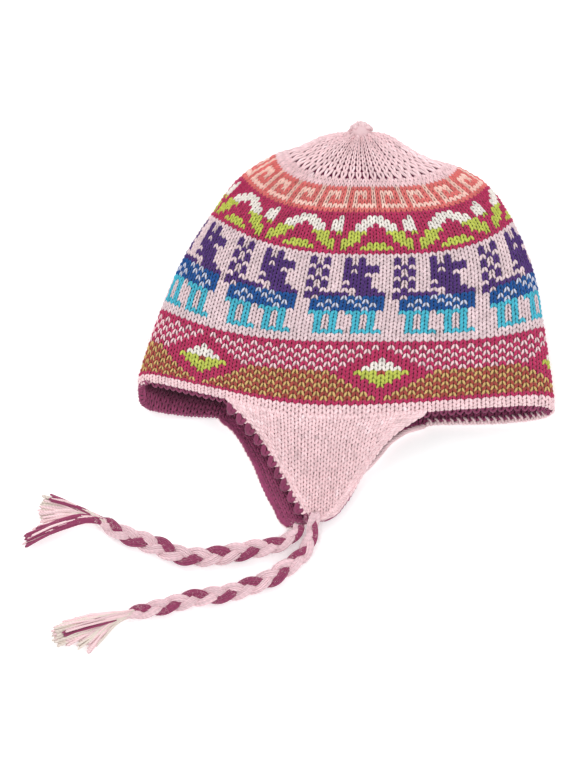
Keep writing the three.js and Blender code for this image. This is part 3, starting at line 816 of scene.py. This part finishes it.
# A yarn runs as a curve of the fourth degree through root, neck, head, middle and tip, with a
# random bow and a small wave on top
def makeTassel(side, line):
    end = line[-1]
    head = end + unit(line[-1] - line[-3]) * tassels["headGap"]
    head[2] = tassels["headHeight"]
    locks = tassels["locks"][side]
    t = np.linspace(0, 1, tassels["steps"])[:, None]
    t[-2] = tassels["blunt"]
    lines, colours = [], []
    for ahead, aside, bow, yarn, share in zip(*locks.values()):
        tip = head + np.array([-ahead, aside, 0]) * tassels["length"]
        middle = (head + tip) / 2 + np.array([0, bow * tassels["length"], 0])
        lift = tassels["darkLift"] if yarn == "plum" else 0
        tip[2], middle[2] = tassels["tipHeight"] + lift, tassels["bowHeight"] + lift
        for _ in range(int(tassels["yarns"] * share)):
            root = line[-6] + dice.normal(0, tassels["rootSpread"], 3) * tassels["rootShares"]
            stray = np.clip(dice.normal(0, 1, 3), -tassels["scatterMost"], tassels["scatterMost"])
            stray = stray * tassels["scatterShares"] * tassels["scatter"]
            reach = 1 + tassels["raggedness"] * dice.standard_normal()
            last = head + (tip - head) * reach + stray
            mid = middle + stray * tassels["middleScatter"]
            neck = end + dice.normal(0, tassels["neckSpread"], 3)
            path = root * (1 - t)**4 + 4 * neck * t * (1 - t)**3 + 6 * head * t**2 * (1 - t)**2
            path = path + 4 * mid * t**3 * (1 - t) + last * t**4
            bend = dice.normal(0, tassels["bend"], 3) * tassels["bendShares"]
            wave = np.sin(t * dice.uniform(*tassels["waveTurns"]) + dice.uniform(0, 6))
            path = path + bend * (4 * t * (1 - t)) + tassels["wave"] * wave * tassels["waveShares"] * t
            keepAboveFloor(path, tassels["radius"] + aboveFloor)
            lines.append(path)
            mixed = yarn if dice.uniform() < tassels["mainShare"] else "pink"
            colours.append(linear(mixed) * (1 + tassels["tone"] * dice.standard_normal()))
    return makeYarns("tassel_yarns_" + side, lines, upwards, tassels["radius"], tassels["sides"], colours,
                     braidYarn)


def makeCords():
    for side in ("far", "near"):
        braid, line, length = makeBraid(side)
        tassel = makeTassel(side, line)
        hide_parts("braid_" + side)
        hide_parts("tassel_" + side)
        print("cord", side, "length", round(float(length), 4))


makeCords()
print("cords ready")


# The patterned knit in bands, each a piece of its own, and the crown in fewer and wider stitches
def knitBody():
    yarns = bodyYarns()
    pale = paint.sum(axis=1)[yarns]
    alone = np.all([pale > np.roll(pale, way, axis=1) + knit["aloneStep"] for way in (1, -1)], axis=0)
    for name, low, high in (
        ("knit_rim_and_diamonds", 0, llamaRow), ("knit_llamas", llamaRow, zigzagRow),
        ("knit_zigzag_and_key", zigzagRow, plainRow), ("knit_plain_rows", plainRow, crownRow),
    ):
        row, column = grid(np.arange(low, high), np.arange(knit["around"]))
        slim = np.where(alone[row, column], knit["aloneSlim"], 1.0)
        knitStitches(name, bodyPlace, column + 0.5, row + 0.5, paint[yarns[row, column]],
                     slim=slim)
    heights = np.array(crown["heights"])
    starts = crownRow + np.concatenate([[0], np.cumsum(heights)[:-1]])
    line, column = grid(np.arange(len(heights)), np.arange(crown["around"]))
    wide = knit["around"] / crown["around"]
    place = (column + 0.5) * wide
    fromMiddle = (place - knit["front"] / 2) / (knit["front"] / 2)
    holes = crown["holes"] * np.exp(-(fromMiddle / crown["holesReach"])**2)
    slim = crown["full"] - holes * np.where(line == 0, crown["holesFirst"], 1)
    slim = slim + crown["closing"] * smoothStep(*crown["closingRows"], line)
    knitStitches("knit_crown", bodyPlace, place, starts[line] + heights[line] / 2, linear("pink"),
                 wide=wide, tall=heights[line], slim=slim, aside=crown["aside"])


knitBody()
print("body knitted")


# A closed thin sheet from a grid of points and the same grid set deeper. The grid may close on
# itself sideways.
def makeSheet(name, top, under, colour, closed=False):
    rows, columns = top.shape[:2]
    colour = np.broadcast_to(colour, top.shape).reshape(-1, 3)
    number = np.arange(rows * columns).reshape(rows, columns)
    if closed:
        number = np.concatenate([number, number[:, :1]], axis=1)
    other = number + rows * columns
    a, b, c, d = number[:-1, :-1], number[:-1, 1:], number[1:, 1:], number[1:, :-1]
    quads = [np.stack([a, b, c, d], -1).reshape(-1, 4),
             np.stack([a, d, c, b], -1).reshape(-1, 4) + rows * columns]
    edges = [(number[0], other[0]), (other[-1], number[-1])]
    if not closed:
        edges += [(other[:, 0], number[:, 0]), (number[:, -1], other[:, -1])]
    for first, second in edges:
        quads.append(np.stack([first[:-1], second[:-1], second[1:], first[1:]], -1))
    points = np.concatenate([top.reshape(-1, 3), under.reshape(-1, 3)])
    form = dict(points=points, quads=np.concatenate(quads), triangles=[])
    return makePiece(name, form, flatYarn, np.concatenate([colour, colour]))


# Plain knit behind the stitches in its yarns' colours, painted darker as the shade in the holes between them
# except along the rim, where it is painted less dark; under the crown, the lining's burgundy, painted darker as
# shade
backing = dict(
    depth=0.0018, thick=0.0005, low=-1, high=0.05, shade=0.46, crownPaintedShade=0.5, rimRows=2, rimPaintedShade=0.75,
)


def makeBacking():
    yarns = bodyYarns()
    # painted shade: the yarns' own colours darkened, and the lining's burgundy under the crown too
    colour = paint[yarns] * backing["shade"]
    rim = slice(0, backing["rimRows"])
    colour[rim] = paint[yarns[rim]] * backing["rimPaintedShade"]
    colour[crownRow:] = linear("burgundy") * backing["crownPaintedShade"]
    row, column = np.meshgrid(np.arange(knit["rows"]) + 0.5, np.arange(knit["around"]) + 0.5, indexing="ij")
    row[0], row[-1] = backing["low"], knit["rows"] - backing["high"]
    top, under = (bodyPlace(column, row, backing["depth"] + deeper)[0] for deeper in (0, backing["thick"]))
    piece = makeSheet("backing_of_the_knit", top, under, colour, closed=True)
    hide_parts("hat_shell")


makeBacking()


# The lining inside: stitches along the rim, where the hollow shows them, painted darker row by row inwards as
# the hollow's shade, and a plain sheet all over, painted darker than its yarn as shade
lining = dict(
    rows=9, size=0.9, paintedShades=dict(row=(0, 2, 3.5, 6), shade=(1, 0.9, 0.32, 0.07)),
    sheetPaintedShade=0.4, sheetDepth=0.0011, sheetRows=69, sheetLines=36, sheetStep=1.5,
)


def insidePlace(column, row, depth):
    return bodyPlace(column, row, depth, inside=True)


def makeLining():
    row, column = grid(np.arange(1, lining["rows"]), np.arange(knit["around"]))
    # painted shade of the hollow, deeper row by row inwards
    colours = linear("burgundy") * alongTable(lining["paintedShades"], "shade", row)[:, None]
    knitStitches("lining_knit", insidePlace, column + 0.5, row + 0.4, colours,
                 size=lining["size"])
    row, column = np.meshgrid(np.linspace(0, lining["sheetRows"], lining["sheetLines"]),
                              np.arange(0, knit["around"], lining["sheetStep"]), indexing="ij")
    top, under = (bodyPlace(column, row, depth)[0] for depth in (linerDepth, doubleWall - lining["sheetDepth"]))
    # painted shade: the sheet is darker than the burgundy yarn
    sheet = makeSheet("lining_sheet", top, under, linear("burgundy") * lining["sheetPaintedShade"],
                      closed=True)
    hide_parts("lining_shell")


makeLining()
print("lining ready")


# Half of a flap's width, rounded off at the tip as an ellipse
def flapHalf(flap, down):
    over = np.clip((down - flaps["tipRound"]) / (1 - flaps["tipRound"]), 0, 1)
    rounding = np.sqrt(1 - flaps["tipLess"] * over**2)
    return flap["width"] / 2 * alongTable(flaps["outline"], "width", down) * rounding


# A flap's outer surface: across runs from -1 to 1 and down from 0 at the rim to 1 at the tip. It
# starts on the body's rim and falls to its resting height.
def flapSurface(flap, across, down):
    across, down = np.broadcast_arrays(across, down)
    fromMiddle = (flap["centre"] + across * flap["width"] / 2) * 2 / body["width"]
    left, right = (body["sections"][name][0] for name in ("left", "right"))
    reach = (fromMiddle - (left + right) / 2) * 2 / (right - left)
    turn = np.arccos(np.clip(-reach, -1, 1)) / (2 * np.pi)
    rim = bodySurface(0 * turn, turn if flap["sign"] > 0 else 1 - turn) - bodyOrigin
    leftShare, rightShare = (alongTable(flap[name], "share", down) for name in ("left", "right"))
    half = flapHalf(flap, down) * np.where(across > 0, rightShare, leftShare)
    x = flap["centre"] + flap["tip"] * down + across * half
    y = (rim[..., 1] - flaps["gap"]) * (1 - down) - flap["reach"] * down
    fall = smoothStep(0, flap["fall"], down)
    z = rim[..., 2] * (1 - fall) + flap["rest"] * fall
    return np.stack([x, y, z], -1) + bodyOrigin


def flapPitch(down):
    return flaps["pitch"] * (1 - flaps["converge"] * down)


# Its points by distance from the middle in stitches, row and depth, and the normals there
def flapPlacer(flap, inside=False):
    def place(column, row, depth):
        column, row, depth = np.broadcast_arrays(column, row, depth)
        down = np.clip(row / flaps["rows"], 0, 1)
        across = column * flapPitch(down) / flapHalf(flap, down)
        across = np.clip(across, -flaps["widest"], flaps["widest"])
        step = 0.01
        sideways = flapSurface(flap, across + step, down) - flapSurface(flap, across - step, down)
        below = (flapSurface(flap, across, np.minimum(down + step, 1))
                 - flapSurface(flap, across, np.maximum(down - step, 0)))
        outward = unit(np.cross(below, sideways)) * flap["sign"]
        point = flapSurface(flap, across, down)
        point[..., 1] += np.clip(-row, 0, 2) * flap["reach"] / flaps["rows"]
        if inside:
            return point - outward * (doubleWall - depth)[..., None], -outward
        return point - outward * depth[..., None], outward
    return place


# Columns, rows and slants of a flap's stitches: upright ones in the middle and two along each
# edge, or all of them along the left edge
def flapStitches(flap, alongEdge=False):
    def halfInStitches(down):
        return float(flapHalf(flap, np.array(down))) / flapPitch(down)

    places = []
    for row in range(-1, flaps["rows"]):
        down = max(row + 0.5, 0) / flaps["rows"]
        edge = halfInStitches(down)
        slant = 2 * (halfInStitches(min(down + 0.5 / flaps["rows"], 1)) - edge)
        if alongEdge:
            q = -edge + flaps["firstInset"]
            while q < edge - flaps["lastInset"]:
                places.append((q, row + 0.5, -slant))
                q += flaps["edgeStep"]
            continue
        reach = int(edge - flaps["uprightInset"])
        for q in range(-reach, reach + 1):
            places.append((q, row + 0.5, slant * (q / edge)**3))
        for inset in flaps["edgeInsets"]:
            if edge > inset:
                places += [(edge - inset, row + 0.5, slant), (-edge + inset, row + 0.5, -slant)]
    return np.array(places).T


# Legs point down the flap, so its rows are counted from the tip for the stitches' direction
def flapKnit(name, flap, yarn, inside=False, alongEdge=False, size=1.0):
    placer = flapPlacer(flap, inside)

    def place(column, row, depth):
        return placer(column, flaps["rows"] - row, depth)

    columns, rows, slants = flapStitches(flap, alongEdge)
    return knitStitches(name, place, columns, flaps["rows"] - rows, linear(yarn),
                        size=size, slants=-slants, slim=flaps["full"])


def flapSheet(name, flap, colour, low, high):
    down = np.linspace(0, 1, flaps["sheetRows"])[:, None]
    across = np.linspace(-flaps["sheetWide"], flaps["sheetWide"], flaps["sheetColumns"])[None, :]
    column = across * flapHalf(flap, down) / flapPitch(down)
    placer = flapPlacer(flap)
    top, under = (placer(column, down * flaps["rows"] + 0 * column, depth)[0] for depth in (low, high))
    if flap["sign"] > 0:
        top, under = top[:, ::-1], under[:, ::-1]
    return makeSheet(name, top, under, colour)


def makeFlaps():
    for side in ("near", "far"):
        flap = flaps[side]
        knitted = (
            flapKnit("flap_knit_" + side, flap, "pink"),
            flapKnit("flap_lining_knit_" + side, flap, "burgundy", inside=True,
                     alongEdge=side == "far", size=lining["size"]),
        )
        # painted shade: the sheets, seen between the stitches, darker than their yarns
        sheets = (
            flapSheet("flap_sheet_" + side, flap, linear("pink") * flaps["sheetPaintedShade"],
                      flaps["backDepth"], linerDepth - flaps["backGap"]),
            flapSheet("flap_lining_sheet_" + side, flap, linear("burgundy") * flaps["liningPaintedShade"],
                      linerDepth - flaps["liningLift"], doubleWall - lining["sheetDepth"]),
        )
        for sheet, stitches, node in zip(sheets, knitted, ("flap_" + side, "flap_" + side + "_lining")):
            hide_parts(node)


makeFlaps()
print("flaps ready")


# The knot at the crown: short yarns gathered over a small dome
topKnot = dict(
    sunk=0.0012, core=(0.0068, 0.0078, 0.0068), corePaintedShade=0.8, rings=10, ringSides=16,
    yarns=60, radius=0.0011, reach=0.0082, spreads=(0.25, 0.95), tallness=(0.95, 1.1), lowered=0.001,
    wave=0.0004, waveTurn=9, steps=9, sides=5, tone=0.06, spiral=0.618, spiralSpread=0.1,
)


# The dome under the knot's yarns: rings between two poles that lie along the Y axis, painted darker than the
# pink yarn as the shade under the yarns
def makeKnotCore(middle):
    rings, sides = topKnot["rings"], topKnot["ringSides"]
    polar = np.pi * np.arange(1, rings)[:, None] / rings
    turn = 2 * np.pi * np.arange(sides) / sides
    ring = np.stack([np.sin(polar) * np.cos(turn), np.cos(polar) + 0 * turn, np.sin(polar) * np.sin(turn)], -1)
    points = np.concatenate([ring.reshape(-1, 3), [[0, 1.0, 0], [0, -1.0, 0]]]) * topKnot["core"] + middle
    j = np.arange(sides)
    k = (j + 1) % sides
    row = (np.arange(rings - 2) * sides)[:, None]
    quads = np.stack([row + j, row + k, row + sides + k, row + sides + j], -1)
    pole, last = (rings - 1) * sides, (rings - 2) * sides
    tips = np.concatenate([
        np.stack([0 * j + pole, k, j], -1), np.stack([0 * j + pole + 1, last + j, last + k], -1),
    ])
    form = dict(points=points, quads=quads, triangles=tips)
    # painted shade under the knot's yarns
    makePiece("top_knot_core", form, flatYarn, linear("pink") * topKnot["corePaintedShade"])


# A yarn rises from the middle and bows over to its end, as sines of the share along it
def makeTopKnot():
    low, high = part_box("top_knot")
    middle = np.array([(low.x + high.x) / 2, low.y - topKnot["sunk"], (low.z + high.z) / 2])
    makeKnotCore(middle)
    t = np.linspace(0, 1, topKnot["steps"])[:, None]
    along = np.array([0, 1.0, 0])
    lines = []
    for k in range(topKnot["yarns"]):
        turn = 2 * np.pi * (k * topKnot["spiral"] + topKnot["spiralSpread"] * dice.uniform())
        out = np.array([np.cos(turn), 0, np.sin(turn)])
        wide = topKnot["reach"] * dice.uniform(*topKnot["spreads"])
        tall = np.sqrt(topKnot["reach"]**2 - wide**2) * dice.uniform(*topKnot["tallness"])
        path = middle + out * wide * np.sin(t * np.pi * 0.62)
        path = path + along * (tall * np.sin(t * np.pi * 0.8) - topKnot["lowered"])
        wave = np.sin(t * topKnot["waveTurn"] + dice.uniform(0, 6))
        lines.append(path + topKnot["wave"] * wave * np.cross(out, along))
    piece = makeYarns("top_knot_yarns", lines, [0.3, 0.2, 1], topKnot["radius"], topKnot["sides"],
                      unevenColours("pink", topKnot["tone"], len(lines)), braidYarn)
    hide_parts("top_knot")


makeTopKnot()


# Rim and edges: rows of stitches round the rim's lip, and arches of yarn along the edges. Places
# on the rim are in stitches and rows, reaches and levels in metres.
edging = dict(
    foldFrom=98, foldTo=3, flapMargin=0.002, size=0.9, turnRow=-0.5, bindOffRows=(-0.6, 0.4),
    liningRow=0.4, aboveRow=-0.15, foldRows=(-0.6, -1.6, -2.6),
    strokeColumns=(-0.3, 0.05, 0.35), strokeRows=(0.7, 1.3, 1.75), strokeDepths=(0.0005, 0.0002, 0.0012),
    strokeCrest=0.0012, strokeThin=0.8,
    rimLoop=(0.0012, 0.0072), rimLoopLevel=0.0022, rimLoopHalf=0.45, rimLoopAhead=0.7,
    radius=0.0008, sides=6, archSteps=7, archPast=0.08, radiusSpread=0.1, tone=0.08,
    loops=12, loopRadius=0.0017, loopReach=0.0088, loopLevel=0.0012, loopLean=0.45, loopShade=0.8,
    loopInset=0.0012, loopHalf=0.33,
    toothReach=0.0050, toothLevel=0.0010, toothInset=0.0014, toothHalf=0.07, toothThin=0.9,
    rollYarns=6, rollTurn=0.016, rollSteps=60, rollTone=0.06, rollLow=0.001, edgeSteps=200, edgeInner=0.9,
)
edgeUp = np.array([0.05, 0.1, 1.0])


# Arches of yarn: parabolas from a first foot to a second one by way of a crest
def archTubes(name, first, crest, second, yarn, radius):
    burgundy = yarn == "burgundy"
    t = np.linspace(-edging["archPast"], 1 + edging["archPast"], edging["archSteps"])[None, :, None]
    lines = first[:, None] * (1 - t)**2 + crest[:, None] * 2 * t * (1 - t) + second[:, None] * t**2
    radii = radius * (1 + edging["radiusSpread"] * dice.standard_normal((len(lines), 1)))
    keepAboveFloor(lines, radii + aboveFloor)
    colours = unevenColours(yarn, edging["tone"], len(lines)) * (edging["loopShade"] if burgundy else 1)
    makeYarns(name, lines, edgeUp, radii, edging["sides"], colours, knitYarn)


# Rows of stitches at the rim: each row number goes with the columns it has
def rimStitches(name, place, rows, yarn):
    columns = np.concatenate([columns for _, columns in rows])
    if len(columns):
        numbers = np.concatenate([np.full(len(columns), row) for row, columns in rows])
        knitStitches(name, place, columns, numbers, linear(yarn), size=edging["size"])


def makeRimEdging():
    column = np.arange(knit["around"]) + 0.5
    lower = column > knit["front"]
    shift = bodyPlace(column, 0 * column, 0.0)[0][:, 0] - bodyOrigin[0]
    overNear, overFar = (np.abs(shift - flap["centre"]) < flap["width"] / 2 - edging["flapMargin"]
                         for flap in (flaps["near"], flaps["far"]))
    covered = np.where(lower, overFar, overNear)
    isFold = ~covered & ((column > edging["foldFrom"]) | (column < edging["foldTo"]))
    fold = column[isFold]
    above = column[~covered & ~lower & ~isFold]
    isBelow = ~covered & lower & ~isFold
    below = column[isBelow]
    rimStitches("rim_turn", bodyPlace, [(edging["turnRow"], below)], "pink")
    rimStitches("rim_bind_off", insidePlace, [(row, below) for row in edging["bindOffRows"]], "pink")
    rows = [(edging["liningRow"], column[~isBelow]), (edging["aboveRow"], above)]
    rows += [(row, fold) for row in edging["foldRows"]]
    rimStitches("rim_lining_turn", insidePlace, rows, "burgundy")
    # slanted pink strokes of the bind-off over the lining's first row
    places = zip(edging["strokeColumns"], edging["strokeRows"], edging["strokeDepths"])
    (first, _), (crest, normal), (second, _) = (
        insidePlace(below + aside, 0 * below + row, depth) for aside, row, depth in places)
    archTubes("rim_strokes", first, crest + normal * edging["strokeCrest"], second, "pink",
              edging["radius"] * edging["strokeThin"])
    # scallops of the lining below the upper layer's edge
    feet, crest = edging["rimLoop"]
    half = edging["rimLoopHalf"]

    def lipPoint(at, reach):
        point, later = (bodyPlace(at, 0 * at + row, edging["rimLoopLevel"])[0]
                        for row in (0, edging["rimLoopAhead"]))
        return point + unit(point - later) * reach

    archTubes("rim_lining_loops", lipPoint(above - half, feet), lipPoint(above, crest),
              lipPoint(above + half, feet), "burgundy", edging["radius"])


# A flap's edge at even steps, with its outward and forward directions
def flapEdge(flap, way, steps):
    count = edging["edgeSteps"]
    edge, inner = (flapSurface(flap, np.full(count, way * share), np.linspace(0.0, 1.0, count))
                   for share in (1.0, edging["edgeInner"]))
    edge, inner, _ = evenSteps(steps, edge, inner)
    along = unit(np.gradient(edge, axis=0))
    out = unit(np.cross(along, upwards)) * -way
    return edge, out * np.sign(np.sum(out * (edge - inner), axis=1))[:, None], along


# Smooth rolls of twisted yarns along the flaps' other edges: flap, side of it, yarn, thickness,
# how far up and out from the edge, and from which step to which
rolls = dict(
    near_right=("near", 1, "pink", 0.0010, -0.0018, -0.0022, 0, 60),
    far_left=("far", -1, "burgundy", 0.0005, 0.0034, -0.0012, 0, 60),
    far_right=("far", 1, "pink", 0.0011, 0.0030, -0.0006, 0, 42),
    far_tip=("far", 1, "burgundy", 0.0012, 0.0034, -0.0012, 41, 60),
)


def makeFlapEdging():
    # loops of the lining stand out past the near flap's left edge, between teeth of the knit
    edge, out, along = flapEdge(flaps["near"], -1, edging["loops"])
    base = edge - upwards * edging["loopLevel"] - out * edging["loopInset"]
    middle = (base[:-1] + base[1:]) / 2
    quarter = (base[1:] - base[:-1]) * edging["loopHalf"]
    crest = middle + (out[:-1] + along[:-1] * edging["loopLean"]) * edging["loopReach"]
    archTubes("flap_loops_near", middle - quarter, crest, middle + quarter, "burgundy", edging["loopRadius"])
    teeth = edge[1:-1] - upwards * edging["toothLevel"] - out[1:-1] * edging["toothInset"]
    step = (edge[2:] - edge[:-2]) * edging["toothHalf"]
    archTubes("flap_teeth_near", teeth - step, teeth + out[1:-1] * edging["toothReach"], teeth + step, "pink",
              edging["radius"] * edging["toothThin"])
    for word, (side, way, yarn, thick, lift, shift, low, high) in rolls.items():
        edge, out, _ = (values[low:high] for values in flapEdge(flaps[side], way, edging["rollSteps"]))
        middle = edge + out * shift + upwards * lift
        share = np.linspace(0, 1, len(edge))
        length = np.linalg.norm(np.diff(edge, axis=0), axis=1).sum()
        lines = []
        for k in range(edging["rollYarns"]):
            turn = 2 * np.pi * (k / edging["rollYarns"] + share * length / edging["rollTurn"])
            lines.append(middle + thick * (out * np.cos(turn)[:, None] + upwards * np.sin(turn)[:, None]))
        lines = np.array(lines)
        keepAboveFloor(lines, edging["rollLow"])
        makeYarns("flap_roll_" + word, lines, edgeUp, edging["radius"], edging["sides"],
                  unevenColours(yarn, edging["rollTone"], len(lines)), braidYarn)


makeRimEdging()
makeFlapEdging()
print("edges ready")


# Loose fibres that stand out of the yarn, each a bent tube as fine as a hair
fuzz = dict(
    body=4500, flap=1000, braid=1800, tassel=900, length=0.0024, bodyLength=0.0014, radius=0.00005,
    lengths=(0.5, 1.3), start=0.0003, rise=0.4, bend=0.3, flat=0.6, steps=4, sides=3,
    flapWide=0.97, braidSize=(0.0042, 0.0042, 0.0028),
)


def makeFuzz(name, points, normals, colours, slot, length=fuzz["bodyLength"]):
    count = len(points)
    aside = unit(dice.standard_normal((count, 3)))
    aside = unit(aside - normals * np.sum(aside * normals, axis=1, keepdims=True) * fuzz["flat"])
    bend = unit(dice.standard_normal((count, 3)))
    reach = length * dice.uniform(*fuzz["lengths"], (count, 1))[:, None]
    t = np.linspace(0, 1, fuzz["steps"])[None, :, None]
    lines = (points[:, None] + normals[:, None] * (fuzz["start"] + fuzz["rise"] * reach * t)
             + aside[:, None] * reach * t + bend[:, None] * reach * fuzz["bend"] * t**2)
    keepAboveFloor(lines, aboveFloor)
    makeYarns(name, lines, [0.3, 0.2, 1.0], fuzz["radius"], fuzz["sides"],
              np.broadcast_to(colours, points.shape), knitYarn)


def makeAllFuzz():
    column = dice.uniform(0, knit["around"] - 0.01, fuzz["body"])
    row = dice.uniform(0.5, knit["rows"] - 0.5, fuzz["body"])
    colours = paint[bodyYarns()[row.astype(int), column.astype(int)]]
    makeFuzz("fuzz_of_the_body", *bodyPlace(column, row, 0.0), colours, "patterned_knit")
    row = dice.uniform(0, flaps["rows"] - 1, fuzz["flap"])
    down = row / flaps["rows"]
    column = dice.uniform(-fuzz["flapWide"], fuzz["flapWide"], fuzz["flap"])
    column = column * flapHalf(flaps["near"], down) / flapPitch(down)
    makeFuzz("fuzz_of_the_flap", *flapPlacer(flaps["near"])(column, row, np.zeros(len(row))), linear("pink"),
             "pink_knit")
    for side in ("far", "near"):
        line, _ = braidRoute(braids[side])
        pick = dice.integers(0, len(line), fuzz["braid"])
        turn = dice.uniform(0, 2 * np.pi, fuzz["braid"])[:, None]
        across = unit(np.cross(np.gradient(line, axis=0), upwards))[pick]
        normals = across * np.cos(turn) + upwards * np.sin(turn)
        makeFuzz("fuzz_of_the_braid_" + side, line[pick] + normals * fuzz["braidSize"], normals,
                 linear("pink"), "pink_yarn", fuzz["length"])
        mesh = bpy.data.objects["tassel_yarns_" + side].data
        spots = np.empty(len(mesh.vertices) * 3, np.float32)
        mesh.vertices.foreach_get("co", spots)
        points = spots.reshape(-1, 3)[dice.integers(0, len(mesh.vertices), fuzz["tassel"])]
        normals = unit(dice.standard_normal(points.shape) + upwards)
        makeFuzz("fuzz_of_the_tassel_" + side, points, normals, linear("cream"), "pink_yarn")


makeAllFuzz()
print("fuzz ready")


floor = dict(half=3.0, level=-0.0004, looks={
    "Base Color": (0.95, 0.95, 0.95, 1), "Roughness": 0.9, "Emission Color": (1, 1, 1, 1),
    "Emission Strength": 0.28,
})


def makeFloor():
    mesh = bpy.data.meshes.new("floor")
    h, level = floor["half"], floor["level"]
    mesh.from_pydata([(-h, -h, level), (h, -h, level), (h, h, level), (-h, h, level)], [], [(0, 1, 2, 3)])
    piece = bpy.data.objects.new("floor", mesh)
    scene.collection.objects.link(piece)
    material = bpy.data.materials.new("paleFloor")
    material.use_nodes = True
    setNode(material.node_tree.nodes["Principled BSDF"], floor["looks"])
    mesh.materials.append(material)


makeFloor()
